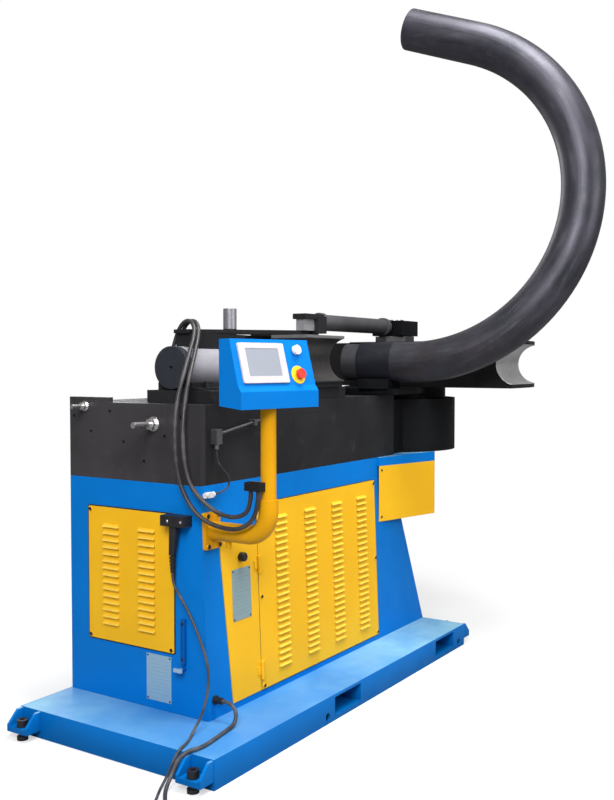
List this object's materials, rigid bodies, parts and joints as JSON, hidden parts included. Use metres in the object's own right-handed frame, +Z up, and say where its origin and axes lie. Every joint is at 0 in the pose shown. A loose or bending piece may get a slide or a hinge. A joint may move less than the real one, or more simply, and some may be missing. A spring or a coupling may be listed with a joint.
{
  "type": "pipe bending machine",
  "caption": "Hydraulic rotary-draw pipe bender on a blue skid cabinet, with a grooved half-round die, a swivel console and a bent pipe held upright on its arm.",
  "frame": {"origin": "on the floor, at the centre of the four levelling feet of the skid", "axes": "+Z up, +X along the skid toward the bending head, -Y toward the operator"},
  "size_m": [2.9556, 1.6416, 2.7062],
  "materials": {
    "blue_paint": "gloss",
    "yellow_paint": "satin",
    "black_paint": "satin",
    "end_plate_paint": "satin",
    "bright_steel": "machined",
    "grey_steel": "machined",
    "dark_bolt_steel": "black oxide",
    "pipe_steel": "mill scale",
    "valve_aluminium": "machined",
    "tag_aluminium": "satin",
    "motor_iron": "painted",
    "tank_sheet": "satin",
    "black_plastic": "satin",
    "switch_metal": "satin",
    "bezel_plastic": "satin",
    "screen_plastic": "gloss",
    "white_plastic": "gloss",
    "yellow_plastic": "satin",
    "red_plastic": "gloss",
    "cable_rubber": "satin"
  },
  "bodies": {
    "machine": {"base_skid": "blue_paint", "cabinet": "blue_paint", "end_cover": "yellow_paint", "side_cover": "yellow_paint", "head_cover": "yellow_paint", "console_arm": "yellow_paint", "frame_channel": "black_paint", "top_plate": "black_paint", "bed_plate": "black_paint", "nose_housing": "black_paint", "nose_cap": "black_paint", "overhead_beam": "black_paint", "tie_cylinder": "black_paint", "tie_head": "black_paint", "boost_saddle": "black_paint", "drive_barrel": "black_paint", "end_plate": "end_plate_paint", "tension_studs": "bright_steel", "door_hinges": "bright_steel", "boost_cylinder": "grey_steel", "levelling_bolts": "dark_bolt_steel", "valve_block": "valve_aluminium", "end_tag": "tag_aluminium", "pump_motor": "motor_iron", "oil_tank": "tank_sheet", "oil_gauge": "black_plastic", "connector_base": "black_plastic", "connector_plug": "black_plastic", "cable_glands": "black_plastic", "pedal_connector": "black_plastic", "power_connector": "black_plastic", "limit_switch": "switch_metal", "loop_cable_1": "cable_rubber", "loop_cable_2": "cable_rubber", "sensor_cable": "cable_rubber", "pedal_cord": "cable_rubber", "pedal_coil": "cable_rubber", "power_cord": "cable_rubber", "power_coil": "cable_rubber"},
    "bend_head": {"main_shaft": "bright_steel", "drive_pinion": "bright_steel", "turntable": "black_paint", "bend_die": "black_paint", "bent_pipe": "pipe_steel", "pipe_plug": "black_paint"},
    "rack": {"drive_rack": "bright_steel"},
    "boost": {"boost_carriage": "black_paint", "boost_rod": "bright_steel", "pressure_die": "grey_steel"},
    "door": {"side_door": "yellow_paint", "door_tag": "tag_aluminium"},
    "knob": {"door_knob": "black_plastic"},
    "console": {"console_box": "blue_paint", "console_rear": "blue_paint", "hmi_bezel": "bezel_plastic", "hmi_screen": "screen_plastic", "estop_ring": "yellow_plastic"},
    "start_button": {"push_button": "white_plastic"},
    "stop_button": {"estop_button": "red_plastic"}
  },
  "joints": [
    {"name": "bend_turn", "type": "hinge", "parent": "machine", "child": "bend_head", "pos_m": [0.947, -0.02, 1.1], "axis": [0, 0, 1], "range_deg": [0, 90]},
    {"name": "rack_slide", "type": "slide", "parent": "machine", "child": "rack", "axis": [1, 0, 0], "range_m": [-0.142, 0]},
    {"name": "boost_slide", "type": "slide", "parent": "machine", "child": "boost", "axis": [1, 0, 0], "range_m": [-0.09, 0]},
    {"name": "door_swing", "type": "hinge", "parent": "machine", "child": "door", "pos_m": [-0.3615, -0.21699, 0.09135], "axis": [0, 0.039, 0.9992], "range_deg": [0, 100]},
    {"name": "knob_turn", "type": "hinge", "parent": "door", "child": "knob", "pos_m": [-0.457, -0.18881, 0.58263], "axis": [0, -0.9992, 0.039], "range_deg": [-90, 0]},
    {"name": "console_swivel", "type": "hinge", "parent": "machine", "child": "console", "pos_m": [-0.607, -0.412, 1.1], "axis": [0, 0, 1], "range_deg": [-30, 30]},
    {"name": "button_press", "type": "slide", "parent": "console", "child": "start_button", "axis": [0.1837, 0.9451, -0.2701], "range_m": [0, 0.003], "stiffness_N_per_m": 600},
    {"name": "stop_press", "type": "slide", "parent": "console", "child": "stop_button", "axis": [0.1837, 0.9451, -0.2701], "range_m": [0, 0.005], "stiffness_N_per_m": 900}
  ],
  "couplings": [
    {"joint": "rack_slide", "follows": "bend_turn", "m_per_rad": -0.09}
  ]
}
